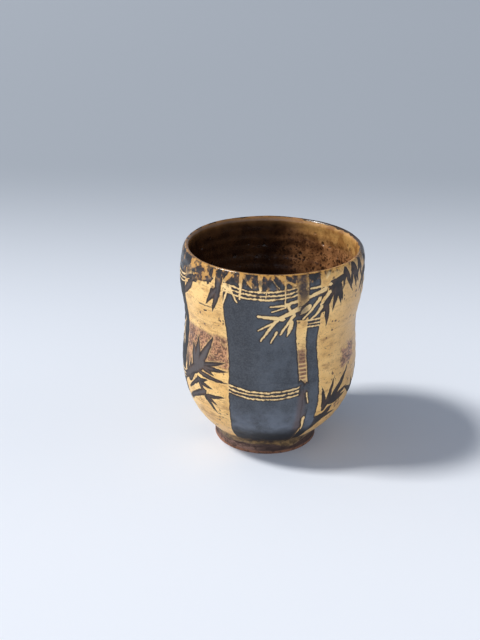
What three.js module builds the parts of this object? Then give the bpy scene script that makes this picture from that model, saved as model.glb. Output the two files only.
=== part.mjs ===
// A tall teacup without a handle, thrown in stoneware and glazed.
// It is one hollow fired piece: a low turned foot ring, a full belly, a gripping waist, a shoulder
// and a thick rounded lip. Lengths are millimetres, +Z is up and the cup stands on z = 0.
import * as THREE from 'three';

// Heights, each measured from the one before it, from the table up to the crest of the lip.
const FOOT_HEIGHT = 5.4; // upright outside of the foot ring
const BELLY_RISE = 33.4; // from the top of the foot to the fullest place of the belly
const WAIST_RISE = 19.2; // from the belly to the waist, where fingers hold the cup
const SHOULDER_RISE = 19.0; // from the waist to the shoulder
const LIP_RISE = 14.0; // from the shoulder to the crest of the lip

// Outside radii at those heights.
const FOOT_RADIUS = 23.1;
const BELLY_RADIUS = 38.75;
const WAIST_RADIUS = 37.7;
const SHOULDER_RADIUS = 40.0;

// Thickness of the clay, and the foot ring turned out from underneath.
const WALL = 4.0;
const FLOOR = 6.0;
const LIP_INNER_DROP = 2.6; // how far the rounding of the lip reaches down inside
const FOOT_RING_WIDTH = 4.5;
const FOOT_RECESS = 3.0;
const FOOT_EDGE = 0.6; // worn bevel where the ring meets the table

// What the hand left in the wet clay: the axis leans, and two places were pushed sideways.
const LEAN = 1.2;
const WAIST_DENT = 0.35;
const WAIST_DENT_REACH = 10.0;
const FOOT_OFFSET = 0.6;
const FOOT_OFFSET_REACH = 15.0;

// Shape of the curves, as shares of the sizes that they join.
const CREST_SHARE = 0.65; // where the crest stands in the wall, from its outer face inwards
const HEEL_HANDLE = { out: 0.064, up: 0.093 }; // pull of the heel, just above the foot
const BELLY_HANDLE = 0.72; // pull of the belly, down towards the heel
const LIP_FULLNESS = 2.8; // 2 rolls the lip over as an ellipse, and more keeps it upright for longer

// Steps around the cup and along each stretch of its profile.
const SEGMENTS = 72;
const BOWL_STEPS = 12;
const WALL_STEPS = 6;
const LIP_STEPS = 6;
const INNER_LIP_STEPS = 3;
const INNER_BOWL_STEPS = 9;

const bellyZ = FOOT_HEIGHT + BELLY_RISE;
const waistZ = bellyZ + WAIST_RISE;
const shoulderZ = waistZ + SHOULDER_RISE;
const height = shoulderZ + LIP_RISE;
const crestRadius = SHOULDER_RADIUS - CREST_SHARE * WALL;
const innerLipRadius = SHOULDER_RADIUS - WALL;
const floorTop = FOOT_RECESS + FLOOR;

// Points of one stretch, without its first point, from a function of a share from 0 to 1.
function stretch(steps, pointAt) {
  return Array.from({ length: steps }, (_, i) => pointAt((i + 1) / steps));
}

// A stretch of wall that leaves one radius upright and arrives at the next one upright.
function wave(fromRadius, fromZ, toRadius, toZ) {
  return (share) => {
    const blend = (1 - Math.cos(Math.PI * share)) / 2;
    return new THREE.Vector2(
      THREE.MathUtils.lerp(fromRadius, toRadius, blend),
      THREE.MathUtils.lerp(fromZ, toZ, share),
    );
  };
}

// A quarter of an ellipse around a centre, from one angle in quarter turns to another.
function quarter(centre, across, up, fromTurn, toTurn) {
  return (share) => {
    const angle = (THREE.MathUtils.lerp(fromTurn, toTurn, share) * Math.PI) / 2;
    return new THREE.Vector2(centre.x + across * Math.cos(angle), centre.y + up * Math.sin(angle));
  };
}

// The outside of the lip: a quarter ellipse whose height is pushed up, so that it rolls over late.
function lipRoll(centre, across, up) {
  return (share) => {
    const angle = (share * Math.PI) / 2;
    return new THREE.Vector2(
      centre.x + across * Math.cos(angle),
      centre.y + up * Math.sin(angle) ** (2 / LIP_FULLNESS),
    );
  };
}

// Underside: the turned recess, its step down to the ring, and the ring's bevelled outer edge.
function footOutline() {
  const ringInner = FOOT_RADIUS - FOOT_RING_WIDTH;
  return [
    new THREE.Vector2(0, FOOT_RECESS),
    new THREE.Vector2(ringInner - FOOT_EDGE, FOOT_RECESS),
    new THREE.Vector2(ringInner, FOOT_RECESS - FOOT_EDGE),
    new THREE.Vector2(ringInner, 0),
    new THREE.Vector2(FOOT_RADIUS - FOOT_EDGE, 0),
    new THREE.Vector2(FOOT_RADIUS, FOOT_EDGE),
    new THREE.Vector2(FOOT_RADIUS, FOOT_HEIGHT),
  ];
}

// Outside: the bowl swells from the foot, and the wall goes in at the waist and out again.
function outerOutline() {
  const bowl = new THREE.CubicBezierCurve(
    new THREE.Vector2(FOOT_RADIUS, FOOT_HEIGHT),
    new THREE.Vector2(
      FOOT_RADIUS + HEEL_HANDLE.out * (BELLY_RADIUS - FOOT_RADIUS),
      FOOT_HEIGHT + HEEL_HANDLE.up * BELLY_RISE,
    ),
    new THREE.Vector2(BELLY_RADIUS, bellyZ - BELLY_HANDLE * BELLY_RISE),
    new THREE.Vector2(BELLY_RADIUS, bellyZ),
  );
  return [
    ...stretch(BOWL_STEPS, (share) => bowl.getPoint(share)),
    ...stretch(WALL_STEPS, wave(BELLY_RADIUS, bellyZ, WAIST_RADIUS, waistZ)),
    ...stretch(WALL_STEPS, wave(WAIST_RADIUS, waistZ, SHOULDER_RADIUS, shoulderZ)),
  ];
}

// Lip: rolls over slowly outside and quickly inside, and meets itself at the crest.
function lipOutline() {
  const outside = new THREE.Vector2(crestRadius, shoulderZ);
  const inside = new THREE.Vector2(crestRadius, height - LIP_INNER_DROP);
  return [
    ...stretch(LIP_STEPS, lipRoll(outside, SHOULDER_RADIUS - crestRadius, LIP_RISE)),
    ...stretch(INNER_LIP_STEPS, quarter(inside, crestRadius - innerLipRadius, LIP_INNER_DROP, 1, 2)),
  ];
}

// Inside: one wall's thickness in from the outside down to the belly, then a round bowl.
function innerOutline() {
  const bowlCentre = new THREE.Vector2(0, bellyZ);
  return [
    new THREE.Vector2(innerLipRadius, shoulderZ),
    ...stretch(WALL_STEPS, wave(innerLipRadius, shoulderZ, WAIST_RADIUS - WALL, waistZ)),
    ...stretch(WALL_STEPS, wave(WAIST_RADIUS - WALL, waistZ, BELLY_RADIUS - WALL, bellyZ)),
    ...stretch(INNER_BOWL_STEPS - 1, (share) => quarter(
      bowlCentre, BELLY_RADIUS - WALL, bellyZ - floorTop, 0, -1,
    )(share * (1 - 1 / INNER_BOWL_STEPS))),
    new THREE.Vector2(0, floorTop),
  ];
}

// How far the axis of the cup stands from the upright at a height.
function axisShift(z) {
  const bump = (centre, reach) => Math.exp(-(((z - centre) / reach) ** 2));
  return (LEAN * z) / height
    - WAIST_DENT * bump(waistZ, WAIST_DENT_REACH)
    - FOOT_OFFSET * bump(0, FOOT_OFFSET_REACH);
}

// The thrown form: the profile turned about the axis, leaned, and set with its box centred.
function thrownGeometry() {
  const profile = [...footOutline(), ...outerOutline(), ...lipOutline(), ...innerOutline()];
  const geometry = new THREE.LatheGeometry(profile, SEGMENTS);
  geometry.rotateX(Math.PI / 2);
  const position = geometry.attributes.position;
  for (let i = 0; i < position.count; i += 1) {
    position.setX(i, position.getX(i) + axisShift(position.getZ(i)));
  }
  geometry.computeBoundingBox();
  const middle = geometry.boundingBox.getCenter(new THREE.Vector3());
  geometry.translate(-middle.x, -middle.y, 0);
  geometry.computeVertexNormals();
  return geometry;
}

const glaze = new THREE.MeshStandardMaterial({ color: 0xd2b584, roughness: 0.45, metalness: 0 });
const cup = new THREE.Mesh(thrownGeometry(), glaze);
cup.name = 'cup';

const teacup = new THREE.Group();
teacup.add(cup);

export default teacup;
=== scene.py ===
# %% [markdown]
# # A teacup thrown in stoneware and painted with bamboo
#
# The real cup was pulled up on a wheel from one lump of clay, squeezed in a little at the waist,
# turned to leave a foot ring, then glazed and painted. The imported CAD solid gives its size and
# place. This script dresses it: a fine mesh of the same form, its glazes, a floor, lights and a
# camera. Everything is measured from the frame, so nothing is fitted by eye afterwards.

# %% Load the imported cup
import math
from functools import reduce

import bpy
import numpy as np
from mathutils import Matrix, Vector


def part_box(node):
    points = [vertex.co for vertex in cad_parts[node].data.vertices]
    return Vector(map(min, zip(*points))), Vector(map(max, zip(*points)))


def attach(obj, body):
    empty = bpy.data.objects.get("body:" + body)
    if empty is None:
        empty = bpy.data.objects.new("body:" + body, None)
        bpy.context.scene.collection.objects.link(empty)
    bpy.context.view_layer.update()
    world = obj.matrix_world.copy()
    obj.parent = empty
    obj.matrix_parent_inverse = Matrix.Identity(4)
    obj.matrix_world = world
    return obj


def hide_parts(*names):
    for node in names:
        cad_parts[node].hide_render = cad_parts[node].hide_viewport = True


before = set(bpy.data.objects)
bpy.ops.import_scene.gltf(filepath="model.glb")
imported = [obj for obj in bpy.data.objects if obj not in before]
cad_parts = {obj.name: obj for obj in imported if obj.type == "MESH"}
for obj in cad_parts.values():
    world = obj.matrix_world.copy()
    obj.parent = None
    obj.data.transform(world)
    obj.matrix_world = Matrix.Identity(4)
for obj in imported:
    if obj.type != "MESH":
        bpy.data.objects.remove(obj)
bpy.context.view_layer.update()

low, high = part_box("cup")
print("CAD cup, mm across, deep and tall:", [round(v * 1000, 2) for v in high - low])

# %% [markdown]
# ## The sizes of the form
#
# A thrown pot is a profile turned about an axis. Its heights are stacked, each on the one before,
# and its radii are read at those heights. They are the maker's sizes in millimetres, and `SCALE`
# turns them into Blender's metres so that the whole form fills the box of the CAD solid.

# %% Heights, radii and wall
FOOT_HEIGHT = 5.4
BELLY_RISE = 33.4
WAIST_RISE = 19.2
SHOULDER_RISE = 19.0
LIP_RISE = 14.0
FOOT_RADIUS = 23.1
BELLY_RADIUS = 38.75
WAIST_RADIUS = 37.7
SHOULDER_RADIUS = 40.0
WALL = 4.0
FLOOR = 6.0
LIP_INNER_DROP = 2.6
FOOT_RING_WIDTH = 4.5
FOOT_RECESS = 3.0
FOOT_EDGE = 0.6
CREST_SHARE = 0.65
LIP_FULLNESS = 2.8
HEEL_OUT = 0.064
HEEL_UP = 0.093
BELLY_PULL = 0.72

belly_z = FOOT_HEIGHT + BELLY_RISE
waist_z = belly_z + WAIST_RISE
shoulder_z = waist_z + SHOULDER_RISE
crest_z = shoulder_z + LIP_RISE
crest_radius = SHOULDER_RADIUS - CREST_SHARE * WALL
floor_z = FOOT_RECESS + FLOOR
SCALE = (high.z - low.z) / crest_z
print("crest at", crest_z, "mm, one millimetre is", round(SCALE, 6), "m")

# %% [markdown]
# ## The profile as a line of points
#
# The profile runs from the middle of the underside, round the foot ring, up the outside, over the
# lip and down the inside to the middle of the floor. It could be a Bezier curve with a Screw
# modifier. Worked out with numpy instead, every point knows which stretch it is on, so that the
# relief, the bare clay and the glaze can follow the form exactly.

# %% Stretches of the profile
def shares(steps):
    """Even shares from just above 0 up to 1: a stretch leaves out the point it starts from."""
    return np.linspace(0.0, 1.0, steps + 1)[1:]


def straight(start, end, steps):
    """Start plus a share of the way to the end."""
    return np.asarray(start) + shares(steps)[:, None] * (np.asarray(end) - np.asarray(start))


def wave(r0, z0, r1, z1, steps):
    """Half a cosine: the radius goes from r0 to r1, upright at both, as the height runs evenly."""
    t = shares(steps)
    return np.column_stack([r0 + (r1 - r0) * (1 - np.cos(np.pi * t)) / 2, z0 + (z1 - z0) * t])


def quarter(centre_r, centre_z, across, up, turn0, turn1, steps, power=1.0):
    """An ellipse: centre plus across by the cosine and up by the sine, which a power fills out."""
    angle = (turn0 + (turn1 - turn0) * shares(steps)) * np.pi / 2
    rise = np.sign(np.sin(angle)) * np.abs(np.sin(angle)) ** power
    return np.column_stack([centre_r + across * np.cos(angle), centre_z + up * rise])


def bowl(steps):
    """A cubic Bezier from foot to belly: four control points weighted by the powers of t and 1 - t."""
    t = shares(steps)[:, None]
    a = np.array([FOOT_RADIUS, FOOT_HEIGHT])
    b = a + [HEEL_OUT * (BELLY_RADIUS - FOOT_RADIUS), HEEL_UP * BELLY_RISE]
    d = np.array([BELLY_RADIUS, belly_z])
    c = d - [0.0, BELLY_PULL * BELLY_RISE]
    return (1 - t) ** 3 * a + 3 * (1 - t) ** 2 * t * b + 3 * (1 - t) * t**2 * c + t**3 * d


# %% The whole profile
ring_in = FOOT_RADIUS - FOOT_RING_WIDTH
inner_lip = SHOULDER_RADIUS - WALL
under = np.vstack([
    straight((0, FOOT_RECESS), (ring_in - FOOT_EDGE, FOOT_RECESS), 22),
    straight((ring_in - FOOT_EDGE, FOOT_RECESS), (ring_in, FOOT_RECESS - FOOT_EDGE), 2),
    straight((ring_in, FOOT_RECESS - FOOT_EDGE), (ring_in, 0), 4),
    straight((ring_in, 0), (FOOT_RADIUS - FOOT_EDGE, 0), 7),
])
outside = np.vstack([
    quarter(FOOT_RADIUS - FOOT_EDGE, FOOT_EDGE, FOOT_EDGE, FOOT_EDGE, -1, 0, 4),
    straight((FOOT_RADIUS, FOOT_EDGE), (FOOT_RADIUS, FOOT_HEIGHT), 10),
    bowl(56),
    wave(BELLY_RADIUS, belly_z, WAIST_RADIUS, waist_z, 24),
    wave(WAIST_RADIUS, waist_z, SHOULDER_RADIUS, shoulder_z, 24),
    quarter(crest_radius, shoulder_z, SHOULDER_RADIUS - crest_radius, LIP_RISE, 0, 1, 26,
            2 / LIP_FULLNESS),
])
inside = np.vstack([
    quarter(crest_radius, crest_z - LIP_INNER_DROP, crest_radius - inner_lip, LIP_INNER_DROP, 1, 2, 9),
    straight((inner_lip, crest_z - LIP_INNER_DROP), (inner_lip, shoulder_z), 12),
    wave(inner_lip, shoulder_z, WAIST_RADIUS - WALL, waist_z, 16),
    wave(WAIST_RADIUS - WALL, waist_z, BELLY_RADIUS - WALL, belly_z, 16),
    quarter(0, belly_z, BELLY_RADIUS - WALL, belly_z - floor_z, 0, -1, 46)[:-1],
])
profile = np.vstack([under, outside, inside])
steps_along = np.linalg.norm(np.diff(profile, axis=0), axis=1)
run = np.r_[0.0, np.cumsum(steps_along)]
crest_row = len(under) + len(outside) - 1
print("profile rows:", len(profile), "and length, mm:", round(run[-1], 1))

# %% [markdown]
# ## What the hands left in the clay
#
# No thrown wall is perfect. The axis of this one leans, the waist was pressed in from one side, and
# fingers left faint spiral ridges. The lip is not quite level, and where the glaze stops above
# the foot it ends in a small step. All of it is cut into the clay, never added to it, so that
# the cup stays within the CAD box. It could be a displacement texture, but then the mesh
# alone would be a smooth stand-in.

# %% Unevenness as sums of waves
COLUMNS = 336
turn = np.arange(COLUMNS) / COLUMNS
theta = turn * 2 * np.pi
THETA, RUN = np.meshgrid(theta, run)
R0, Z0 = profile[:, :1] + 0 * THETA, profile[:, 1:] + 0 * THETA


def step(value, start, end):
    """Smooth step: 0 at start, 1 at end, easing in and out as 3t² - 2t³."""
    t = np.clip((value - start) / (end - start), 0, 1)
    return t * t * (3 - 2 * t)


def ripples(seed, count, most_round, along):
    """Mean of `count` cosines, each with a whole number of waves round the cup, so it meets itself."""
    rng = np.random.default_rng(seed)
    around = rng.integers(1, most_round + 1, count)
    length = rng.uniform(0.6, 1.6, count) * along
    phase = rng.uniform(0, 2 * np.pi, count)
    terms = [np.cos(k * THETA + 2 * np.pi * RUN / w + p) for k, w, p in zip(around, length, phase)]
    return sum(terms) / math.sqrt(count)


throwing = 0.5 + 0.5 * np.cos(2 * np.pi * RUN / 4.6 + THETA)
fingers = ripples(3, 6, 3, 45.0)
grain = ripples(8, 14, 26, 6.0)
print("unevenness from", round(float(fingers.min()), 2), "to", round(float(fingers.max()), 2))

# %% The edge of the glaze above the foot
bearing = (THETA + np.pi) % (2 * np.pi) - np.pi
glaze_line = 4.6 + 0.4 * np.sin(2 * THETA + 0.8) + 0.3 * np.sin(5 * THETA + 2.0) + 0.2 * np.sin(9 * THETA)
glaze_line -= 1.6 * np.exp(-(((bearing - 0.5) / 0.3) ** 2))
before_crest = RUN <= run[crest_row]
bare = np.where(before_crest, 1 - step(Z0, glaze_line - 0.25, glaze_line + 0.25), 0.0)
print("share of rows with bare clay:", round(float((bare > 0.5).any(1).mean()), 3))

# %% Depth of the relief, in millimetres into the clay
on_wall = step(Z0, 7.0, 12.0) * step(Z0, 91.5, 84.0)
on_foot = step(Z0, 5.5, 4.5) * before_crest
on_inside = 1.0 * ~before_crest
turned = 0.5 + 0.5 * np.cos(2 * np.pi * RUN / 1.3 + THETA)
depth = 0.14 * on_wall * throwing * (1 + 0.4 * fingers)
depth += 0.10 * on_wall * (1.6 + fingers) + 0.02 * (2.2 + grain)
depth += 0.22 * bare + 0.08 * on_foot * turned
depth += 0.12 * on_inside * throwing * step(Z0, 8.0, 14.0)
depth = np.maximum(depth, 0.0)
lip_drop = 0.16 * (1 + np.cos(2 * THETA + 0.9)) + 0.05 * (1 + np.cos(7 * THETA))
print("deepest relief and dip of the lip, mm:", [round(float(a.max()), 2) for a in (depth, lip_drop)])

# %% [markdown]
# ## The mesh of the cup
#
# Each row of the profile becomes a ring of points, moved along the profile's normal by its depth,
# and the two ends of the profile close on a single point each. The rings are joined by quads in
# whole arrays. The lean of the axis moves every ring sideways by an amount that depends on height
# alone, the same as in the CAD solid.

# %% Where the points are
LEAN, WAIST_DENT, DENT_REACH, FOOT_OFFSET, OFFSET_REACH = 1.2, 0.35, 10.0, 0.6, 15.0


def axis_shift(z):
    """Lean by the share of the height, less a bell at the waist and a bell at the foot."""
    dent = WAIST_DENT * np.exp(-(((z - waist_z) / DENT_REACH) ** 2))
    offset = FOOT_OFFSET * np.exp(-((z / OFFSET_REACH) ** 2))
    return LEAN * z / crest_z - dent - offset


tangent = np.gradient(profile, run, axis=0)
tangent /= np.linalg.norm(tangent, axis=1)[:, None]
normal_r, normal_z = tangent[:, 1:], -tangent[:, :1]
depth *= step(normal_z, -0.95, -0.4)
ring_r = R0 - depth * normal_r
ring_z = Z0 - depth * normal_z
ring_z = np.maximum(ring_z - lip_drop * step(Z0, 80.0, 91.0), 0.0)
reach = profile[:, 0] + axis_shift(profile[:, 1]), axis_shift(profile[:, 1]) - profile[:, 0]
axis_x = (reach[0].max() + reach[1].min()) / 2
ring_x = ring_r * np.sin(THETA) + axis_shift(ring_z) - axis_x
ring_y = -ring_r * np.cos(THETA)
rings = np.stack([ring_x, ring_y, ring_z], -1)
poles = np.array([[axis_shift(FOOT_RECESS) - axis_x, 0, FOOT_RECESS],
                  [axis_shift(floor_z) - axis_x, 0, floor_z]])
points = np.vstack([rings.reshape(-1, 3), poles]) * SCALE + [(low.x + high.x) / 2, 0, low.z]
print("points:", len(points), "axis of the box at x, mm:", round(float(axis_x), 3))

# %% How they are joined
def put_in_scene(name, data):
    """A new object at the origin that holds a mesh, a lamp or a camera."""
    thing = bpy.data.objects.new(name, data)
    bpy.context.scene.collection.objects.link(thing)
    return thing


ROWS = len(profile)
row, column = np.meshgrid(np.arange(ROWS - 1), np.arange(COLUMNS), indexing="ij")
following = (column + 1) % COLUMNS
quads = np.stack([row * COLUMNS + column, row * COLUMNS + following,
                  (row + 1) * COLUMNS + following, (row + 1) * COLUMNS + column], -1).reshape(-1, 4)
around = np.arange(COLUMNS)
under_pole, floor_pole = ROWS * COLUMNS, ROWS * COLUMNS + 1
under_fan = np.stack([np.full(COLUMNS, under_pole), (around + 1) % COLUMNS, around], -1)
last = (ROWS - 1) * COLUMNS
floor_fan = np.stack([np.full(COLUMNS, floor_pole), last + around, last + (around + 1) % COLUMNS], -1)
mesh = bpy.data.meshes.new("teacup_body")
mesh.from_pydata(points.tolist(), [], quads.tolist() + under_fan.tolist() + floor_fan.tolist())
mesh.polygons.foreach_set("use_smooth", np.ones(len(mesh.polygons), bool))
cup = put_in_scene("teacup_body", mesh)
print("triangles:", 2 * len(quads) + 2 * COLUMNS)

# %% [markdown]
# ## Maps on the surface
#
# The painting needs to know where it is on the cup: how far round and how high. `wrap` is a UV map
# that holds the arc in millimetres from the middle of the front and the run of the profile. It is
# a UV map and not an attribute of the points because a map may jump at the back seam, while points
# there would be blended between both ends. A second map lays the same surface out flat for
# texture baking, with most of the square given to the painted outside.

# %% Two UV maps
ARC_RADIUS = 38.0
quad_turn = np.stack([column, column + 1, column + 1, column], -1).reshape(-1, 4) / COLUMNS
quad_row = np.stack([row, row, row + 1, row + 1], -1).reshape(-1, 4)
under_turn = np.stack([around + 0.5, around + 1, around], -1) / COLUMNS
floor_turn = np.stack([around + 0.5, around, around + 1], -1) / COLUMNS
corner_turn = np.concatenate([quad_turn.ravel(), under_turn.ravel(), floor_turn.ravel()])
under_run = np.tile([0.0, run[0], run[0]], COLUMNS)
end_run = run[-1] + profile[-1, 0]
floor_run = np.tile([end_run, run[-1], run[-1]], COLUMNS)
corner_run = np.concatenate([run[quad_row].ravel(), under_run, floor_run])
face_middle = np.concatenate([np.repeat(run[quad_row].mean(1), 4), under_run, floor_run])
first_half = np.concatenate([np.repeat(faces.mean(1) < 0.5, faces.shape[1])
                             for faces in (quad_turn, under_turn, floor_turn)])
arc_mm = (corner_turn - ~first_half) * 2 * np.pi * ARC_RADIUS


def uv_layer(name, u, v):
    """Writes one pair of numbers for each corner of each face."""
    layer = mesh.uv_layers.new(name=name)
    layer.uv.foreach_set("vector", np.column_stack([u, v]).astype(np.float32).ravel())


foot_run, crest_run = run[len(under)], run[crest_row]
bands = [(0.0, foot_run, 0.005, 0.06), (foot_run, crest_run, 0.285, 0.995),
         (crest_run, end_run, 0.065, 0.28)]
bake_v = np.zeros(len(corner_run))
for start, end, bottom, top in bands:
    within = (face_middle >= start) & (face_middle <= end)
    bake_v = np.where(within, bottom + (corner_run - start) / (end - start) * (top - bottom), bake_v)
uv_layer("OFBake", 0.005 + 0.99 * ((arc_mm / (2 * np.pi * ARC_RADIUS)) + 0.5), bake_v)
uv_layer("wrap", arc_mm, corner_run - run[crest_row])
print("arc from", round(float(arc_mm.min()), 1), "to", round(float(arc_mm.max()), 1), "mm")

# %% Marks that the glazes follow
def point_mark(name, values):
    """A number for each point of the rings, with the value of the nearest ring at the two poles."""
    marks = np.concatenate([values.ravel(), [values[0, 0], values[-1, 0]]]).astype(np.float32)
    mesh.attributes.new(name, "FLOAT", "POINT").data.foreach_set("value", marks)


underneath = np.arange(ROWS)[:, None] < len(under)
point_mark("bare", np.where(underneath, 1.0, bare))
point_mark("past_crest", RUN - run[crest_row])
print("marks on the mesh:", [a.name for a in mesh.attributes if a.name in ("bare", "past_crest")])

# %% [markdown]
# ## Helpers for building shader nodes
#
# A painted pot is many effects laid over each other, so its material is a long sum of small node
# steps. Wiring them by hand in the editor is possible, but the same leaf is wanted a hundred times.
# These helpers add one node each and hand back its output, which reads like arithmetic. A socket
# knows its tree, so only a node that nothing feeds has to be told which tree it goes into.

# %% One helper for each kind of node
def add(tree, kind, plugs=None, **settings):
    """Adds a node to a tree, applies its settings, and fills or links the sockets named in `plugs`."""
    node = tree.nodes.new(kind)
    for name, value in settings.items():
        setattr(node, name, value)
    for key, value in (plugs or {}).items():
        if isinstance(value, bpy.types.NodeSocket):
            tree.links.new(value, node.inputs[key])
        else:
            node.inputs[key].default_value = value
    return node


def fed(kind, plugs, **settings):
    """Adds a node to the tree of the sockets that feed it."""
    tree = next(value.id_data for value in plugs.values() if isinstance(value, bpy.types.NodeSocket))
    return add(tree, kind, plugs, **settings)


def maths(operation, *values):
    """A Math node on one to three values."""
    return fed("ShaderNodeMath", dict(enumerate(values)), operation=operation).outputs[0]


def minus(value, taken):
    """The first value less the second."""
    return maths("SUBTRACT", value, taken)


def scaled(value, factor, offset):
    """The value times a factor, plus an offset."""
    return maths("MULTIPLY_ADD", value, factor, offset)


def times(*factors):
    """The product of several masks or numbers."""
    return reduce(lambda whole, factor: maths("MULTIPLY", whole, factor), factors)


def largest(*values):
    """The largest of several masks or numbers."""
    return reduce(lambda whole, value: maths("MAXIMUM", whole, value), values)


def vector_maths(operation, *values):
    """A Vector Math node on two or three places."""
    return fed("ShaderNodeVectorMath", dict(enumerate(values)), operation=operation).outputs[0]


def ramp(value, start, end, low=0, high=1):
    """Smoothly maps start..end to low..high, and holds its ends."""
    plugs = {0: value, 1: start, 2: end, 3: low, 4: high}
    return fed("ShaderNodeMapRange", plugs, interpolation_type="SMOOTHSTEP", clamp=False).outputs[0]


def glaze_colour(red, green, blue):
    """A colour of 0 to 255, as on a screen, made linear: (c + 0.055) / 1.055 to the power 2.4."""
    return (*[((c / 255 + 0.055) / 1.055) ** 2.4 for c in (red, green, blue)], 1)


def blend(share, first, second):
    """Mixes two colours by a share from 0 to 1. Each is a socket, or three numbers as on a screen."""
    first, second = (glaze_colour(*c) if isinstance(c, tuple) else c for c in (first, second))
    plugs = {0: share, 6: first, 7: second}
    return fed("ShaderNodeMix", plugs, data_type="RGBA").outputs[2]


def stretch(place, across, up):
    """Scales a place sideways and in height."""
    return vector_maths("MULTIPLY", place, (across, across, up))


def along(place, direction):
    """How far a place lies along a direction: their dot product."""
    plugs = {0: place, 1: direction}
    return fed("ShaderNodeVectorMath", plugs, operation="DOT_PRODUCT").outputs["Value"]


def cloud(place, size, detail=2, rough=0.5):
    """Noise from 0 to 1 whose blobs are about `size` millimetres."""
    plugs = {"Vector": place, "Scale": 1 / size, "Detail": detail, "Roughness": rough}
    return fed("ShaderNodeTexNoise", plugs).outputs[0]


# %% Starting a node group
NUMBER, PLACE = "NodeSocketFloat", "NodeSocketVector"


def start_group(name, takes, gives):
    """A new shader node group with its sockets: returns the tree, its inputs and its output node."""
    tree = bpy.data.node_groups.new(name, "ShaderNodeTree")
    for label, kind in takes.items():
        tree.interface.new_socket(label, in_out="INPUT", socket_type=kind)
    for label, kind in gives.items():
        tree.interface.new_socket(label, in_out="OUTPUT", socket_type=kind)
    return tree, add(tree, "NodeGroupInput").outputs, add(tree, "NodeGroupOutput")


def finish_group(tree, ending, **results):
    """Links each result to the output of that name, with spaces for underscores."""
    for label, socket in results.items():
        tree.links.new(socket, ending.inputs[label.replace("_", " ")])
    return tree


def use(group, **plugs):
    """Adds a node that holds the group, and returns its outputs."""
    named = {label.replace("_", " "): value for label, value in plugs.items()}
    return fed("ShaderNodeGroup", named, node_tree=group).outputs


# %% [markdown]
# ## One brush stroke of a bamboo leaf
#
# The painter loads a brush, presses it down near the twig and draws it off to a point. As a node
# group a leaf is a *gap*: how many millimetres a place lies outside the stroke, negative inside
# it. A gap is more useful than a mask, because its zero gives the edge and its other values give the
# thin dark rim of the pigment. Many strokes are joined by keeping the smallest gap. A painted image
# would be simpler, but nodes stay sharp at any distance.

# %% The leaf and the twig
STROKE = {"Place": PLACE, "Root": PLACE, "Forward": PLACE, "Sideways": PLACE, "Length": NUMBER,
          "Half Width": NUMBER, "Bend": NUMBER, "Before": NUMBER}


def brush_group(name, leaf):
    """The distance sideways from the stroke's bent middle, less the half width it has there.

    A leaf's half width is 2.6 * sqrt(t) * (1 - t) of its own, which is widest a third of the way. A
    twig's shrinks evenly to half. Past either end the overshoot forward is added to the gap.
    """
    tree, given, ending = start_group(name, STROKE, {"Gap": NUMBER})
    offset = vector_maths("SUBTRACT", given["Place"], given["Root"])
    forward = along(offset, given["Forward"])
    sideways = along(offset, given["Sideways"])
    share = fed("ShaderNodeClamp", {0: maths("DIVIDE", forward, given["Length"])}).outputs[0]
    bend = times(times(share, share), given["Bend"])
    across = maths("ABSOLUTE", minus(sideways, bend))
    if leaf:
        shrink = scaled(share, -2.6, 2.6)
        swell = times(maths("POWER", share, 0.5), shrink)
    else:
        swell = scaled(share, -0.5, 1)
    reached = times(share, given["Length"])
    over = maths("ABSOLUTE", minus(forward, reached))
    inside_it = minus(across, times(swell, given["Half Width"]))
    gap = maths("ADD", inside_it, over)
    return finish_group(tree, ending, Gap=maths("MINIMUM", gap, given["Before"]))


LEAF = brush_group("bamboo_leaf", leaf=True)
TWIG = brush_group("bamboo_twig", leaf=False)
print("nodes in one leaf:", len(LEAF.nodes))

# %% [markdown]
# ## The rings of a stalk and its edges
#
# A bamboo stalk is painted as one broad dark stroke. Its joints are drawn by leaving the ground bare
# in three fine lines that bow downwards, as rings on a round stem do. One group folds the height
# onto the nearest of three lines, so three lines cost no more than one. The two edges of a stalk
# are curves through a few points, because a hand-drawn edge is neither straight nor a wave.

# %% Rings and edges
def ring_group():
    """The height over a bowed middle line is folded onto the nearest of three lines, one pitch apart.

    The bow is the sag times the square of the share of the half span, and the gap is never less
    than how far the place lies outside that half span.
    """
    numbers = ("Arc", "Height", "Middle", "Level", "Half Span", "Sag", "Pitch", "Half Width", "Before")
    tree, given, ending = start_group("stalk_rings", dict.fromkeys(numbers, NUMBER), {"Gap": NUMBER})
    off = minus(given["Arc"], given["Middle"])
    share = maths("DIVIDE", off, given["Half Span"])
    bow = times(times(share, share), given["Sag"])
    rise = minus(minus(given["Height"], given["Level"]), bow)
    line = maths("ROUND", maths("DIVIDE", rise, given["Pitch"]))
    line = maths("MINIMUM", largest(line, -1), 1)
    from_line = minus(rise, times(line, given["Pitch"]))
    gap = minus(maths("ABSOLUTE", from_line), given["Half Width"])
    ends = minus(maths("ABSOLUTE", off), given["Half Span"])
    gap = largest(gap, ends)
    return finish_group(tree, ending, Gap=maths("MINIMUM", gap, given["Before"]))


RINGS = ring_group()
ARC_END = 120


def edge(height, points):
    """The arc of an edge at a height: a smooth curve through (height, arc) points, both as shares."""
    node = fed("ShaderNodeFloatCurve", {1: maths("DIVIDE", height, 100)})
    curve = node.mapping.curves[0]
    spots = [(z / 100, (arc + ARC_END) / (2 * ARC_END)) for z, arc in points]
    curve.points[0].location, curve.points[1].location = spots[0], spots[-1]
    for spot in spots[1:-1]:
        curve.points.new(*spot)
    node.mapping.update()
    return scaled(node.outputs[0], 2 * ARC_END, -ARC_END)


def stalk(arc, height, left, right, foot, before):
    """The largest of: how far left of the left edge, right of the right edge, and below the foot."""
    sides = largest(minus(edge(height, left), arc), minus(arc, edge(height, right)))
    body = largest(sides, minus(foot, height))
    return maths("MINIMUM", body, before)


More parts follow.
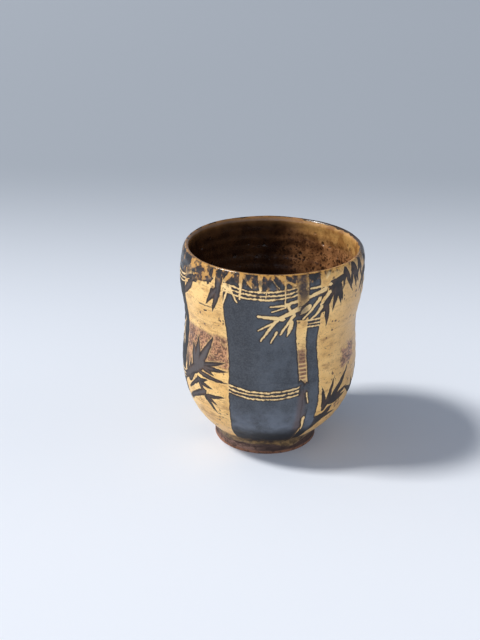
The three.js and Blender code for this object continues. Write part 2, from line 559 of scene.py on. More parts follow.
print("nodes in one set of rings:", len(RINGS.nodes))

# %% [markdown]
# ## Where the stalks and leaves go
#
# Bamboo is an old subject on pots, and the layout is simple: broad and thin stalks standing all
# round, sprays that hang from the lip or rise from below, and over the stalks the same leaves in
# reverse, left bare in the dark. A place is given as the arc from the middle of the front and the
# height, both in millimetres. The front follows the areas of the real painting. The sides and back
# are filled by a seeded function that fans leaves from a twig.

# %% Stalks, as edges through (height, arc) points, and their rings
STALKS = [
    ([(0, -17.5), (10, -19), (20, -17.6), (30, -17), (50, -17.5), (60, -18.4), (80, -20), (100, -20.5)],
     [(0, 15), (20, 14.6), (30, 13.6), (40, 13), (50, 12.5), (60, 11.5), (66, 10.6), (80, 10),
      (100, 10.5)], 6.4),
    ([(0, 16.6), (30, 17), (45, 16.5), (55, 16), (67, 15), (85, 14.6), (100, 14.5)],
     [(0, 23), (30, 22.5), (45, 22), (55, 21.2), (67, 20.6), (80, 20), (100, 19.5)], 8),
    ([(0, -62), (40, -63), (70, -61), (100, -62)],
     [(0, -47), (20, -47.5), (45, -45.6), (60, -44.6), (75, -44.4), (100, -43)], 7.5),
    ([(0, 75), (30, 74), (60, 75.5), (100, 73)], [(0, 100), (45, 101), (80, 99), (100, 100)], 6.8),
    ([(0, 107), (50, 106), (100, 107.5)], [(0, 113), (60, 112), (100, 113)], 9),
    ([(0, -84), (50, -85), (100, -83.5)], [(0, -78), (60, -79), (100, -77.5)], 8.5),
    ([(0, -113), (40, -112), (80, -114), (100, -113)], [(0, -93), (30, -92), (70, -93.5), (100, -92)], 7),
]
JOINTS = [(-5, 82, 15.3, 2.1), (-2.4, 36.6, 15.3, 1.9), (17.7, 69.1, 3.3, 0.1),
          (-52.8, 79, 9.4, 1.4), (-55, 33, 8.6, 1.2), (87.5, 74, 13.4, 1.8), (87.5, 30, 13.6, 1.8),
          (109.5, 54, 3.2, 0.2), (-81.5, 62, 3.2, 0.2), (-103, 78, 10.4, 1.4), (-102.5, 42, 10.4, 1.4)]

# %% Sprays: a root, then the heading, length and half width of each stroke
def spray(root, headings, lengths, half):
    """Strokes from one root, as (root, heading in degrees, length, half width)."""
    return [(root, heading, length, half) for heading, length in zip(headings, lengths)]


def compass(heading):
    """The cosine and sine of a heading in degrees: 0 points right and 90 up."""
    return math.cos(math.radians(heading)), math.sin(math.radians(heading))


def fan(rng, root, heading, spread, count, length, half):
    """Strokes spread evenly about a middle heading, each nudged and shortened a little at random."""
    turns = heading + np.linspace(-spread, spread, count) + rng.uniform(-6, 6, count)
    return spray(root, turns.tolist(), (length * rng.uniform(0.65, 1.1, count)).tolist(), half)


front_sprays = [
    # Hanging at the front right
    ((28, 86.5), (-94, -81, -68), (14, 12, 11), 1.35), ((33, 90), (-70, -96), (13, 9), 1.15),
    ((38.5, 91), (-80, -62, -101), (13, 12, 11), 1.15), ((22.4, 78), (-78, -126), (12.2, 9), 1.15),
    # Hanging at the front left
    ((-22.4, 83), (-99, 232), (12, 11), 1.3), ((-25.5, 82), (-82,), (5.2,), 1),
    ((-30, 89), (231, 206), (9.5, 10), 1.5), ((-36, 84), (201, 236), (10, 8), 1),
    # Rising at the front left
    ((-36, 41.5), (56, 110, 84), (20.5, 11.5, 15), 2.2), ((-33, 44), (23, 1, -10), (14.5, 15.5, 9), 1.15),
    ((-35.5, 41), (-7,), (18,), 1.15),
    # Low at the front left
    ((-42, 33), (104, 78, 52), (14, 12, 9), 1.3), ((-33.5, 36.6), (-14, 24), (8.8, 6), 0.95),
    ((-29.5, 30.8), (8, -22, -57), (11, 7, 10), 1),
    # Rising at the front right
    ((26.6, 25), (79, 98, 104), (17, 13.5, 9), 1.15), ((28, 28.6), (44.5, 23, 2), (20, 14, 13), 1.55),
    ((25, 20.5), (11, 33), (12, 9), 1.2),
    # Hanging at both edges of the front
    ((-39, 91), (217,), (12,), 1.9), ((-37.5, 80.8), (221,), (13,), 1.7),
    ((-34.5, 81.6), (182,), (10,), 0.5), ((44.5, 91.5), (-78, -101), (13, 11), 1.15),
]
dark_leaves = [stroke for row in front_sprays for stroke in spray(*row)]
dark_twigs = [
    ((-32, 45), 221, 20, 2.8), ((-30, 32.5), 208, 17, 1.7), ((-37, 29), 224, 9, 1),
    ((19, 13), 44, 17, 3.2), ((18, 19), 24, 11, 2.6), ((13.6, 41.6), -89, 34, 2),
    ((16.2, 40), -91, 32, 2.4), ((25.4, 84.2), 16, 7.5, 2.4), ((26, 84), 248, 10.8, 2),
    ((11.5, 73.5), 40, 14, 3.2), ((22, 76), 221, 8, 1.3), ((-22.3, 89), -94, 10, 2),
    ((-26.4, 89), -100, 6, 1), ((-32.5, 73), 1, 9.5, 0.2), ((-29.6, 70.7), 14, 1.5, 0.4),
    ((24.6, 90.5), 228, 3.5, 0.6), ((-26.5, 85.5), 196, 8, 1.5), ((-31, 86.5), 212, 12, 1.5),
    ((-34, 37.5), -58, 10, 1.3), ((-33, 37.4), 217, 12, 1.2),
]
bare_twigs = [
    ((22.3, 83.4), 197.5, 17.8, 0.95), ((7, 78.2), 183, 7.6, 0.55), ((5.4, 77.4), 202, 5.6, 0.42),
    ((6.5, 77.8), -65, 4, 0.65), ((10.6, 76.5), 209, 9.2, 1.2), ((4.8, 72.2), 173, 10.2, 1.05),
    ((2.8, 71.6), 215, 9.4, 0.6), ((1.8, 71.2), 239, 11.2, 0.72), ((2.5, 66.1), 251, 5.6, 0.5),
    ((9, 74), 240, 10.4, 0.75), ((19.7, 79.9), 231, 10.8, 0.8), ((24, 81.7), 229, 6.4, 1),
    ((20.6, 76), 231, 7, 0.85), ((25, 84.9), 180, 9.8, 0.75), ((22.4, 91.5), -88, 6.2, 2.8),
    ((-19, 84.8), 249, 5.6, 0.5), ((-18.2, 83), 258, 8, 0.55), ((-17.4, 84.4), -62, 7.2, 0.6),
    ((-19.8, 84.6), -34, 4.5, 1.1), ((-16.3, 91), 232, 6, 1.15), ((-12.8, 91), -88, 11.2, 0.85),
    ((-11.8, 89.8), -52, 6, 0.6), ((-4.9, 91), -86, 6.6, 1.1), ((0, 89), -56, 4.6, 0.26),
    ((4.7, 91), -86, 12, 0.46), ((3, 90), -32, 7, 0.8), ((-2, 84.6), -96, 4, 0.24),
    ((16.3, 37), -80, 5.2, 0.38), ((16.5, 24.3), -80, 7.6, 0.75), ((23.3, 30), -68, 6.4, 0.7),
    ((22.9, 36.8), -84, 4, 0.35),
]
bare_leaves = spray((8.4, 71.4), (263,), (7.8,), 0.9) + spray((15.8, 77.6), (217,), (6,), 1.25)
print("strokes on the front:", len(dark_leaves) + len(dark_twigs) + len(bare_leaves) + len(bare_twigs))

# %% The sides and back
def bough(rng, root, heading, length, count, leaf_length, half):
    """A twig with a fan of strokes at its tip and a smaller fan halfway, as (twigs, strokes)."""
    along_it = np.array(compass(heading))
    tip = tuple((np.array(root) + length * along_it).tolist())
    joint = tuple((np.array(root) + 0.45 * length * along_it).tolist())
    side = 42 * rng.choice([-1, 1])
    strokes = fan(rng, tip, heading, 52, count, leaf_length, half)
    strokes += fan(rng, joint, heading + side, 20, 2, 0.8 * leaf_length, 0.85 * half)
    return [(root, heading, length, 0.55 * half)], strokes


rng = np.random.default_rng(41)
for root, heading, length, count, leaf_length in [
    ((51, 92), -84, 7, 4, 15), ((67, 92), -100, 8, 5, 16), ((52, 13), 97, 13, 4, 15),
    ((69, 12), 74, 15, 5, 14), ((103, 92), -98, 8, 3, 12), ((116, 12), 86, 15, 4, 13),
    ((-69, 92), -78, 9, 5, 15), ((-70, 12), 96, 14, 4, 15), ((-88, 76), -96, 10, 4, 12),
    ((-88, 92), -84, 4, 3, 10), ((-117, 92), -80, 6, 4, 13), ((118, 72), -96, 8, 4, 12),
]:
    twigs, strokes = bough(rng, root, heading, length, count, leaf_length, 1.4)
    dark_twigs += twigs
    dark_leaves += strokes
for root, heading, length, count, leaf_length in [
    ((98, 82), -122, 12, 4, 10), ((80, 40), 70, 10, 4, 10), ((-112, 74), -52, 9, 4, 10),
    ((-50, 60), -112, 8, 4, 8), ((-95, 26), 118, 9, 3, 9),
]:
    twigs, strokes = bough(rng, root, heading, length, count, leaf_length, 0.75)
    bare_twigs += twigs + strokes
print("strokes in all:", len(dark_leaves) + len(dark_twigs) + len(bare_leaves) + len(bare_twigs))

# %% [markdown]
# ## The painting as one group
#
# The group takes a place on the wrapped surface and gives two gaps, one for everything dark and
# one for everything left bare over it. The dark shows where it is painted and nothing is left
# bare, so the material takes the larger of the first gap and the negative of the second.

# %% The painting
def painting_group():
    """Joins stalks, then dark strokes, by the smallest gap, and rings and bare strokes by another.

    Noise is added to the gap of the rings, which makes them thick and thin and breaks them in places.
    """
    gaps = dict.fromkeys(("Stalk Gap", "Dark Gap", "Bare Gap"), NUMBER)
    tree, given, ending = start_group("bamboo_painting", {"Place": PLACE}, gaps)
    place = given["Place"]
    arc, height = along(place, (1, 0, 0)), along(place, (0, 1, 0))

    def strokes(brush, rows, bend, before):
        for number, (root, heading, length, half) in enumerate(rows):
            curl = bend * length * (1 if number % 2 else -1)
            cosine, sine = compass(heading)
            before = use(brush, Place=place, Root=(*root, 0), Forward=(cosine, sine, 0),
                         Sideways=(-sine, cosine, 0), Length=length, Half_Width=half, Bend=curl,
                         Before=before)[0]
        return before

    stalks = 99
    for left, right, foot in STALKS:
        stalks = stalk(arc, height, left, right, foot, stalks)
    dark = strokes(TWIG, dark_twigs, 0.05, strokes(LEAF, dark_leaves, 0.07, stalks))
    bare_gap = 99
    for middle, level, half_span, sag in JOINTS:
        bare_gap = use(RINGS, Arc=arc, Height=height, Middle=middle, Level=level,
                       Half_Span=half_span, Sag=sag, Pitch=1.6, Half_Width=0.4, Before=bare_gap)[0]
    bare_gap = maths("ADD", bare_gap, scaled(cloud(place, 1.6, 2), 1.3, -0.6))
    bare_gap = strokes(TWIG, bare_twigs, 0.03, strokes(LEAF, bare_leaves, 0.06, bare_gap))
    return finish_group(tree, ending, Stalk_Gap=stalks, Dark_Gap=dark, Bare_Gap=bare_gap)


PAINTING = painting_group()
print("nodes in the painting:", len(PAINTING.nodes))

# %% [markdown]
# ## Effects that the glazes share
#
# Iron in the clay bleeds through a glaze as brown specks, and a brush or a turning wheel leaves
# fine streaks round the pot. Both are groups, because the gold ground, the slate, the inside and the
# bare clay all use them with their own sizes.

# %% Specks and streaks
def speck_group():
    """Cells of a size, each with a dot whose radius is how far a random value passes 1 - amount.

    The place is first moved by a little noise, so that the dots aren't round.
    """
    takes = {"Place": PLACE, "Size": NUMBER, "Amount": NUMBER}
    tree, given, ending = start_group("iron_specks", takes, {"Mask": NUMBER})
    pushed = fed("ShaderNodeTexNoise", {"Vector": given["Place"], "Scale": 1.1, "Detail": 1})
    moved = vector_maths("MULTIPLY_ADD", pushed.outputs["Color"], (0.9, 0.9, 0.9), given["Place"])
    plugs = {"Vector": moved, "Scale": maths("DIVIDE", 1, given["Size"])}
    cells = fed("ShaderNodeTexVoronoi", plugs).outputs
    chance = along(cells["Color"], (1, 0, 0))
    spare = minus(chance, minus(1, given["Amount"]))
    radius = times(largest(spare, 0), 0.9)
    inner = minus(radius, 0.22)
    return finish_group(tree, ending, Mask=ramp(cells["Distance"], radius, inner))


def streak_group():
    """Noise squeezed in height and drawn out round the pot, at two scales."""
    tree, given, ending = start_group("wheel_streaks", {"Place": PLACE}, {"Value": NUMBER})
    broad = cloud(stretch(given["Place"], 0.10, 1), 2.2, 3)
    fine = cloud(stretch(given["Place"], 0.16, 1), 0.55, 2)
    return finish_group(tree, ending, Value=scaled(fine, 0.4, times(broad, 0.6)))


SPECKS, STREAKS = speck_group(), streak_group()
print("shared groups:", SPECKS.name, STREAKS.name)

# %% [markdown]
# ## The gold ground and the patches of rust
#
# The ground is an ochre glaze over a rough clay. It clouds between pale straw and deeper ochre, and
# iron comes through it as specks. In a few areas it broke to a mauve rust, thickly mottled. A
# patch is a box of arc and height with a ragged edge, where noise is added to the gap before it
# becomes a mask.

# %% Helpers for patches and specks
def patch(arc, height, middle, half, ragged):
    """A box of arc and height: the larger overshoot, plus raggedness, turned into a soft mask."""
    gaps = [minus(maths("ABSOLUTE", minus(value, centre)), reach)
            for value, centre, reach in zip((arc, height), middle, half)]
    gap = maths("ADD", largest(*gaps), ragged)
    return ramp(gap, 1.2, -1.2)


def specks(place, size, amount):
    """The mask of iron specks of a size, in an amount from 0 to 1."""
    return use(SPECKS, Place=place, Size=size, Amount=amount)[0]


# %% The ground's colour
RUST_PATCHES = [
    ((-42, 53.4), (26, 7), 0.35), ((-46, 46), (9, 6), 0.8), ((42, 48), (5, 3.4), 1.9),
    ((13.6, 48.5), (2.6, 8.8), 0.6), ((66, 58), (12, 5.5), 2.4), ((-88, 50), (6, 8), 2),
    ((119, 44), (10, 7), 2.2), ((64, 28), (8, 3), 2.6),
]


def rust_colour(place, arc, height, streaks):
    """Tan mottled with mauve brown at two sizes, and ribbed across where it shows between two stalks."""
    fine = cloud(place, 0.9, 3, 0.65)
    mottle = ramp(scaled(cloud(place, 4), 0.5, fine), 0.66, 0.82)
    colour = blend(mottle, (192, 136, 98), (82, 43, 32))
    pale = ramp(cloud(stretch(place, 1, 1.6), 6, 3), 0.56, 0.68, 0, 0.5)
    colour = blend(pale, colour, (218, 172, 116))
    wave_height = scaled(streaks, 5, times(height, 3.6))
    ribs = ramp(maths("SINE", wave_height), 0, 0.8)
    in_strip = patch(arc, height, (13.6, 49), (3, 9.5), 0)
    colour = blend(times(in_strip, 0.6), colour, (112, 66, 54))
    ribs = times(ribs, in_strip, ramp(height, 52, 50, 0.25, 0.95))
    return blend(ribs, colour, (228, 186, 124))


def ground_colour(place, arc, height, streaks):
    """Straw to ochre by clouds, smeared and speckled with iron, with painted shade to the right, rust in
    patches.
    """
    clouds = cloud(place, 13, 3)
    colour = blend(ramp(clouds, 0.36, 0.64), (255, 208, 132), (236, 184, 106))
    # Painted shade: the gold is darker on the right, the side turned away from the window.
    painted_right_shade = times(ramp(arc, 22, 40), ramp(arc, 100, 70), 0.75)
    colour = blend(painted_right_shade, colour, (208, 162, 98))
    smears = ramp(cloud(stretch(place, 0.4, 1), 3.6, 5, 0.7), 0.49, 0.69, 0, 0.75)
    colour = blend(smears, colour, (184, 134, 74))
    colour = blend(ramp(streaks, 0.54, 0.66, 0, 0.55), colour, (170, 120, 66))
    grit = ramp(cloud(place, 0.9, 4, 0.7), 0.55, 0.68, 0, 0.75)
    colour = blend(grit, colour, (150, 102, 56))
    dense = ramp(cloud(place, 9), 0.4, 0.62, 0.16, 0.7)
    colour = blend(times(specks(place, 1.7, dense), 0.9), colour, (92, 56, 32))
    colour = blend(times(specks(place, 0.9, 0.36), 0.7), colour, (112, 72, 40))
    ragged = scaled(cloud(place, 5, 5, 0.65), 9, -4.5)
    rust = largest(*[patch(arc, height, middle, half, times(ragged, much))
                           for middle, half, much in RUST_PATCHES])
    return blend(times(rust, 0.92), colour, rust_colour(place, arc, height, streaks))


print("rust patches:", len(RUST_PATCHES))

# %% [markdown]
# ## Slate, rim glaze, inside and bare clay
#
# The stalks are a dark pigment that fired to a matt slate. The leaves are thinner strokes of it, and
# thin pigment fires brown. Where it ends it left a fine line of black-brown. Over the lip the potter
# poured a second, glossy glaze that broke to black and amber. The same glaze lines the inside, where
# it is thick, dark and full of iron specks. Painted light and shade run through these layers: the
# slate is darker on the left, the leaves paler on the left and darker on the right, the inside paler
# on the right and darker deeper down, and the bare clay paler on the left. The foot was wiped clean
# before firing.

# %% Colours of the pigment
def slate_colour(place, arc, height, streaks):
    """Blue-grey clouds and fine pale specks, browner between the stalks and black towards the bottom,
    with painted shade on the left and at the far left, and a painted floor reflection low down.
    """
    clouds = ramp(cloud(stretch(place, 1, 0.6), 6, 4, 0.6), 0.35, 0.68)
    colour = blend(clouds, (56, 61, 68), (80, 86, 94))
    # Painted shade: the slate is darker towards the left of the front.
    colour = blend(ramp(arc, 4, -14, 0, 0.7), colour, (44, 46, 51))
    grain = ramp(cloud(place, 0.7, 3, 0.7), 0.4, 0.62, 0, 0.3)
    colour = blend(grain, colour, (102, 104, 108))
    low_down = ramp(height, 37, 22)
    # Partly a glaze bloom, partly a painted reflection of the bright floor: pale blue clouds low down.
    bloom_and_floor_reflection = times(low_down, ramp(cloud(place, 7, 4, 0.6), 0.28, 0.66), 0.66)
    colour = blend(bloom_and_floor_reflection, colour, (110, 117, 129))
    colour = blend(times(specks(place, 0.8, 0.3), 0.3), colour, (118, 122, 128))
    colour = blend(ramp(streaks, 0.52, 0.75, 0, 0.4), colour, (44, 46, 54))
    between = patch(arc, height, (14.4, 26), (1.7, 12.5), 0)
    colour = blend(times(between, 0.8), colour, (96, 82, 82))
    # Painted shade: a nearly black stripe down the far left of the slate.
    far_left = times(ramp(arc, -36, -44), ramp(arc, -70, -58), 0.92)
    colour = blend(far_left, colour, (19, 17, 19))
    uneven = scaled(cloud(place, 6, 3), 6, height)
    return blend(ramp(uneven, 23, 16), colour, (19, 18, 21))


def leaf_colour(place, arc, gap, slate):
    """Slate within a stroke, with painted light at the front left and painted shade on the right, and
    brown at its edge.
    """
    brown = blend(ramp(cloud(place, 3, 3), 0.4, 0.65), (44, 33, 30), (84, 60, 46))
    # Painted light: leaves on the front left are paler. Painted shade: leaves on the right are darker.
    leaf_painted_light = times(ramp(arc, -18, -26), ramp(arc, -80, -62), 0.5)
    slate = blend(leaf_painted_light, slate, (108, 94, 88))
    leaf_painted_shade = times(ramp(arc, 17.5, 26), ramp(arc, 112, 84), 0.9)
    slate = blend(leaf_painted_shade, slate, (32, 26, 24))
    return blend(ramp(gap, -0.4, -1.5, 0, 0.9), brown, slate)


def rim_colour(place, arc, painted):
    """Black-brown broken by amber blotches, with more amber where there is no pigment below."""
    blotches = cloud(stretch(place, 1, 0.8), 3.2, 3, 0.6)
    far_left = times(ramp(arc, -36, -46), ramp(arc, -80, -62), 0.07)
    less = scaled(painted, 0.1, far_left)
    blotches = minus(blotches, less)
    share = ramp(blotches, 0.43, 0.52)
    dark = blend(ramp(blotches, 0.33, 0.45), (18, 13, 11), (70, 44, 26))
    colour = blend(share, dark, (198, 144, 68))
    pale = ramp(cloud(place, 1.6, 2), 0.6, 0.7, 0, 0.6)
    return blend(times(pale, share), colour, (218, 178, 112))


# %% Colours of the inside and the bare clay
def inside_colour(place, past_crest, pits):
    """Ochre below the lip, then brown, with painted light on the right and painted shade deeper down,
    crowded with specks and black pits.
    """
    clouds = ramp(cloud(place, 6, 4, 0.6), 0.38, 0.62)
    across = along(place, (1, 0, 0))
    # Painted light and shade: a lit copy of the glaze on the right and a shaded copy on the left; the
    # ochre band is dimmer on the shaded side and reaches deeper on the lit one.
    painted_lit_side = ramp(scaled(cloud(place, 7, 3), 18, across), 8, 34)
    light = blend(clouds, (176, 122, 78), (116, 74, 44))
    shade = blend(clouds, (68, 43, 25), (40, 24, 16))
    colour = blend(painted_lit_side, shade, light)
    uneven = scaled(cloud(place, 7, 3), 5, past_crest)
    band = blend(clouds, (212, 160, 92), (162, 112, 60))
    band = blend(painted_lit_side, (150, 108, 66), band)
    reach = ramp(painted_lit_side, 0, 1, 4.2, 11)
    colour = blend(ramp(minus(uneven, reach), 4.5, -3), colour, band)
    crowd = ramp(past_crest, 4, 16, 0.08, 0.66)
    colour = blend(times(specks(place, 1.9, crowd), 0.9), colour, (34, 18, 12))
    freckles = ramp(cloud(place, 1.1, 4, 0.65), 0.5, 0.6)
    freckles = times(freckles, ramp(past_crest, 4, 14, 0.1, 0.85))
    colour = blend(freckles, colour, (46, 26, 16))
    colour = blend(times(pits, 0.95), colour, (20, 12, 9))
    # Painted shade: the glaze darkens deeper into the cup.
    return blend(ramp(past_crest, 12, 34, 0, 0.6), colour, (48, 28, 19))


def clay_colour(place, arc, height, streaks):
    """Reddish brown, with painted light on the left and painted shade on the right, streaked by turning,
    with a rubbed edge at the bottom.
    """
    # Painted light and shade: the clay is paler on the left, towards the window, and darker on the right.
    clay = blend(ramp(arc, -16, 4), (150, 116, 100), (86, 64, 56))
    colour = blend(ramp(streaks, 0.4, 0.65), clay, (60, 43, 38))
    colour = blend(ramp(height, 1.8, 0.8, 0, 0.75), colour, (166, 114, 84))
    stain = ramp(cloud(place, 2.2, 4, 0.65), 0.48, 0.64, 0, 0.75)
    colour = blend(stain, colour, (60, 42, 36))
    return blend(times(specks(place, 0.9, 0.4), 0.6), colour, (58, 36, 28))


print("layers: slate, leaves, rim glaze, inside and bare clay")

# %% [markdown]
# ## The finish of the whole cup
#
# One material carries all the layers, as one firing made them. The gaps of the painting choose between
# ground and pigment, the height brings in the rim glaze, and the two marks on the mesh bring in the
# inside and the bare clay. Splitting the cup into several materials would give hard borders, where
# real glazes melt into each other. Gloss and relief follow the same masks: slate is satin, the
# rim and inside are glassy, and the foot is dry.

# %% Where the painter's hand shook
def drawn_place(place, arc, height):
    """Arc and height, each moved a little by noise, so that no stroke has a ruled edge."""
    plugs = {"Vector": place, "Scale": 0.3, "Detail": 3, "Roughness": 0.6}
    wander = fed("ShaderNodeTexNoise", plugs).outputs["Color"]
    centred = vector_maths("SUBTRACT", wander, (0.5, 0.5, 0.5))
    flat = fed("ShaderNodeCombineXYZ", {0: arc, 1: height}).outputs[0]
    return vector_maths("MULTIPLY_ADD", centred, (1, 0.9, 0), flat)


# %% The outside, from the ground up
def outer_layers(place, arc, height, streaks):
    """Ground, pigment and its dark line, rim glaze and foot wash; also the masks of pigment and rim."""
    gaps = use(PAINTING, Place=drawn_place(place, arc, height))
    bare_gap = times(gaps["Bare Gap"], -1)
    gap = largest(gaps["Dark Gap"], bare_gap)
    gap = maths("ADD", gap, scaled(cloud(place, 0.9, 2), 0.5, -0.25))
    painted = ramp(gap, 0.12, -0.12)
    slate = slate_colour(place, arc, height, streaks)
    off_stalk = ramp(gaps["Stalk Gap"], -0.2, 0.5)
    pigment = blend(off_stalk, slate, leaf_colour(place, arc, gap, slate))
    pigment = blend(ramp(gap, -0.8, -0.25, 0, 0.85), pigment, (34, 23, 20))
    ground = ground_colour(place, arc, height, streaks)
    ground = blend(ramp(gap, 0.8, 0.3, 0, 0.25), ground, (255, 218, 146))
    in_reserve = times(ramp(bare_gap, -0.1, 0.12), ramp(gaps["Dark Gap"], 0.3, 0), 0.62)
    ground = blend(in_reserve, ground, (255, 221, 160))
    stain = ramp(scaled(cloud(place, 1.4, 3), 1.2, gap), 0.85, 0.55, 0, 0.6)
    ground = blend(stain, ground, (132, 88, 50))
    colour = blend(painted, ground, pigment)
    run_down = scaled(cloud(stretch(place, 1, 0.4), 3.2, 3), 10, height)
    run_down = maths("ADD", run_down, ramp(arc, -22, -36, 0, 3.5))
    thin = times(ramp(arc, 17, 20), ramp(arc, 72, 60), 3.4)
    run_down = minus(run_down, thin)
    rim = ramp(run_down, 89.5, 93)
    colour = blend(times(rim, 0.9), colour, rim_colour(place, arc, painted))
    uneven = scaled(cloud(place, 2, 3), 3, -1.5)
    broken = ramp(cloud(place, 1.3, 3), 0.66, 0.48, 0.84, 1)
    upwards = ramp(scaled(cloud(place, 3, 3), 8, height), 80, 88, 0.6, 1)
    browned = patch(arc, height, (12.2, 83), (1.9, 9.5), uneven)
    colour = blend(times(browned, broken, upwards), colour, (58, 40, 33))
    low_down = scaled(cloud(place, 5, 3), 6, height)
    wash = blend(ramp(cloud(place, 2, 4, 0.6), 0.4, 0.58), (132, 104, 66), (50, 37, 31))
    return blend(ramp(low_down, 12.4, 9.8, 0, 0.92), colour, wash), painted, rim


# %% The dark line on the lip
def dark_lip(place, arc, past_crest):
    """Broad over the back right, from outside the crest to just inside, and a broken line behind."""
    broad = times(ramp(arc, 40, 56), ramp(arc, 112, 100))
    behind = ramp(maths("ABSOLUTE", arc), 50, 62)
    wavy = scaled(cloud(place, 3, 3), 2.2, past_crest)
    reach = scaled(broad, -0.6, wavy)
    thin = times(behind, ramp(cloud(place, 4, 3), 0.44, 0.56, 0.1, 0.9))
    line = times(ramp(reach, 1.9, 1.4), ramp(past_crest, -4.5, -2.4))
    return times(line, largest(broad, thin), 0.95)


# %% Build the material
def empty_material(name):
    """A new material without nodes, and its tree."""
    material = bpy.data.materials.new(name)
    material.use_nodes = True
    material.node_tree.nodes.clear()
    return material, material.node_tree


def cup_material():
    """Outside, then inside past the crest, then bare clay, with the gloss and relief of each."""
    material, tree = empty_material("glazed_stoneware")
    local = add(tree, "ShaderNodeTexCoord").outputs["Object"]
    place = stretch(local, 1 / SCALE, 1 / SCALE)
    height = along(place, (0, 0, 1))
    wrapped = add(tree, "ShaderNodeUVMap", uv_map="wrap").outputs[0]
    arc = along(wrapped, (1, 0, 0))
    past_crest = add(tree, "ShaderNodeAttribute", attribute_name="past_crest").outputs["Fac"]
    bare_mark = add(tree, "ShaderNodeAttribute", attribute_name="bare").outputs["Fac"]
    streaks = use(STREAKS, Place=place)[0]

    pits = times(specks(place, 3.4, 0.44), ramp(past_crest, 4, 10, 0.1, 0.85))
    colour, painted, rim = outer_layers(place, arc, height, streaks)
    worn = ramp(cloud(place, 2.2, 3), 0.48, 0.6, 0, 0.8)
    crest = blend(worn, (196, 146, 78), (66, 46, 34))
    colour = blend(ramp(past_crest, -1, -0.5, 0, 0.9), colour, crest)
    inside = ramp(past_crest, -0.6, 0.1)
    colour = blend(inside, colour, inside_colour(place, past_crest, pits))
    colour = blend(dark_lip(place, arc, past_crest), colour, (24, 16, 13))
    colour = blend(bare_mark, colour, clay_colour(place, arc, height, streaks))

    glassy = largest(rim, ramp(past_crest, -1.5, 0.5))
    rough = ramp(painted, 0, 1, 0.38, 0.6)
    rough = scaled(cloud(place, 2.5, 3), 0.16, minus(rough, 0.08))
    rough = times(rough, ramp(glassy, 0, 1, 1, 0.42))
    rough = largest(rough, times(bare_mark, 0.85))

    relief = scaled(streaks, 0.10, times(cloud(place, 0.8, 3), 0.09))
    relief = minus(relief, pits)
    bump = fed("ShaderNodeBump", {"Strength": 0.6, "Distance": SCALE, "Height": relief}).outputs[0]
    plugs = {"Base Color": colour, "Roughness": rough, "Normal": bump, "IOR": 1.5}
    shader = fed("ShaderNodeBsdfPrincipled", plugs)
    fed("ShaderNodeOutputMaterial", {0: shader.outputs[0]})
    return material


mesh.materials.append(cup_material())
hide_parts("cup")
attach(cup, "root")
print("material nodes:", len(mesh.materials[0].node_tree.nodes))

# %% [markdown]
# ## Floor
#
# The cup stands on a plain pale sheet, with painted shade a little darker further back, away from the
# window. A curved studio sweep would shade it with real light, but it would hide the cup from behind.

# %% A pale floor
def floor_material():
    """Pale and a little blue in front, then painted shade from the cup backwards, lighter again far off.
    """
    material, tree = empty_material("pale_paper")
    place = add(tree, "ShaderNodeTexCoord").outputs["Object"]
    depth_back = along(place, (0, 1, 0))
    # Painted shade: the floor's colour darkens behind the cup and eases off far away.
    colour = blend(ramp(depth_back, -0.12, 0.02), (236, 240, 247), (228, 233, 241))
    colour = blend(ramp(depth_back, 0.04, 0.45), colour, (162, 169, 178))
    colour = blend(ramp(depth_back, 0.6, 1.6), colour, (166, 173, 182))
    shader = fed("ShaderNodeBsdfPrincipled", {"Base Color": colour, "Roughness": 0.9})
    fed("ShaderNodeOutputMaterial", {0: shader.outputs[0]})
    return material


FLOOR_REACH = 6
corners = [(x * FLOOR_REACH, y * FLOOR_REACH, low.z) for x, y in ((-1, -1), (1, -1), (1, 1), (-1, 1))]
floor_mesh = bpy.data.meshes.new("studio_floor")
floor_mesh.from_pydata(corners, [], [(0, 1, 2, 3)])
floor_mesh.materials.append(floor_material())
floor = put_in_scene("studio_floor", floor_mesh)
print("floor reaches", FLOOR_REACH, "m each way")

# %% [markdown]
# ## Light
#
# The light is a window to the left and high up, in a pale room with a darker ceiling. The window is
# an area lamp about a sixth as wide as its distance, which gives the shadow a soft edge that widens
# away from the foot. Its height decides how long the shadow is. The room is the world's colour,
# brighter in front than behind. The dark ceiling is what makes the inside of the cup so deep.

# %% Window and sky
WINDOW_BEARING, WINDOW_HEIGHT = math.radians(-86), math.radians(54)
WINDOW_DISTANCE, WINDOW_SIZE, WINDOW_POWER = 8, 1.38, 540

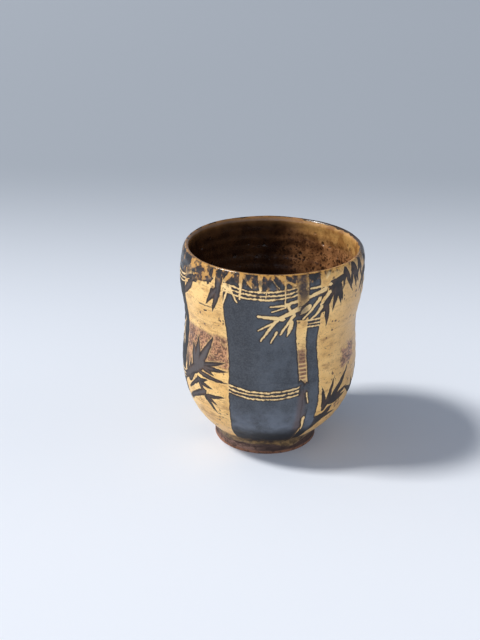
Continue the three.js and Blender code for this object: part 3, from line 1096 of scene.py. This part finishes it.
lamp = bpy.data.lights.new("window", "AREA")
lamp.size, lamp.energy, lamp.color = WINDOW_SIZE, WINDOW_POWER, (1, 0.985, 0.96)
window = put_in_scene("window", lamp)
level = math.cos(WINDOW_HEIGHT)
away = (math.sin(WINDOW_BEARING) * level, -math.cos(WINDOW_BEARING) * level, math.sin(WINDOW_HEIGHT))
window.location = np.array([0, 0, (low.z + high.z) / 2]) + WINDOW_DISTANCE * np.array(away)
window.rotation_euler = (math.pi / 2 - WINDOW_HEIGHT, 0, WINDOW_BEARING)
sky = bpy.data.worlds.new("pale_sky")
sky.use_nodes = True
tree = sky.node_tree
towards = add(tree, "ShaderNodeTexCoord").outputs["Object"]
upwards = along(towards, (0, 0, 1))
forwards = along(towards, (0, -1, 0))
walls_and_ceiling = ramp(upwards, 0.3, 0.95, 0.86, 0.14)
rightwards = along(towards, (1, 0, 0))
by_side = scaled(rightwards, -0.22, scaled(forwards, 0.36, 1))
tree.links.new(times(walls_and_ceiling, by_side), tree.nodes["Background"].inputs[1])
tree.nodes["Background"].inputs[0].default_value = (0.72, 0.79, 0.92, 1)
bpy.context.scene.world = sky
bpy.context.scene.view_settings.view_transform = "Standard"
print("window", WINDOW_DISTANCE, "m away")

# %% [markdown]
# ## Camera
#
# The camera was worked out by fitting the outline of this profile to the outline in the photograph:
# how far away it stands, how high it looks down from, and its small turns. It is set as a
# rotation matrix, because three small turns one after another are easy to get wrong by hand.

# %% The photograph's view
REACH_MM = 494.5
LOOK_DOWN = math.radians(24.6)
YAW, PITCH, ROLL = (math.radians(a) for a in (-1.46, 1.05, 1.38))
AIM_HEIGHT = 44.5
AIM_SIDE = -1.25
LENS_MM = 62.45


def swing(first, second, angle):
    """Two axes turned in their plane: first towards second by the angle, and second away from first."""
    cosine, sine = math.cos(angle), math.sin(angle)
    return first * cosine + second * sine, second * cosine - first * sine


def turned_axes():
    """Right, up and forward of a camera that looks down, turned in order by yaw, pitch and roll."""
    forward = np.array([0, math.cos(LOOK_DOWN), -math.sin(LOOK_DOWN)])
    right = np.array([1, 0, 0])
    up = np.cross(right, forward)
    forward, right = swing(forward, right, YAW)
    forward, up = swing(forward, up, PITCH)
    return (*swing(right, up, ROLL), forward)


right, up, forward = turned_axes()
back, rise = REACH_MM * math.cos(LOOK_DOWN), REACH_MM * math.sin(LOOK_DOWN)
eye = np.array([AIM_SIDE, -back, AIM_HEIGHT + rise]) * SCALE
camera = put_in_scene("camera", bpy.data.cameras.new("camera"))
pose = np.eye(4)
pose[:3, :3] = np.column_stack([right, up, -forward])
pose[:3, 3] = eye
camera.matrix_world = Matrix(pose.tolist())
camera.data.lens = LENS_MM
camera.data.sensor_width = 36
camera.data.clip_start = 0.01
bpy.context.scene.camera = camera
print("camera at, mm:", np.round(eye * 1000, 1).tolist())
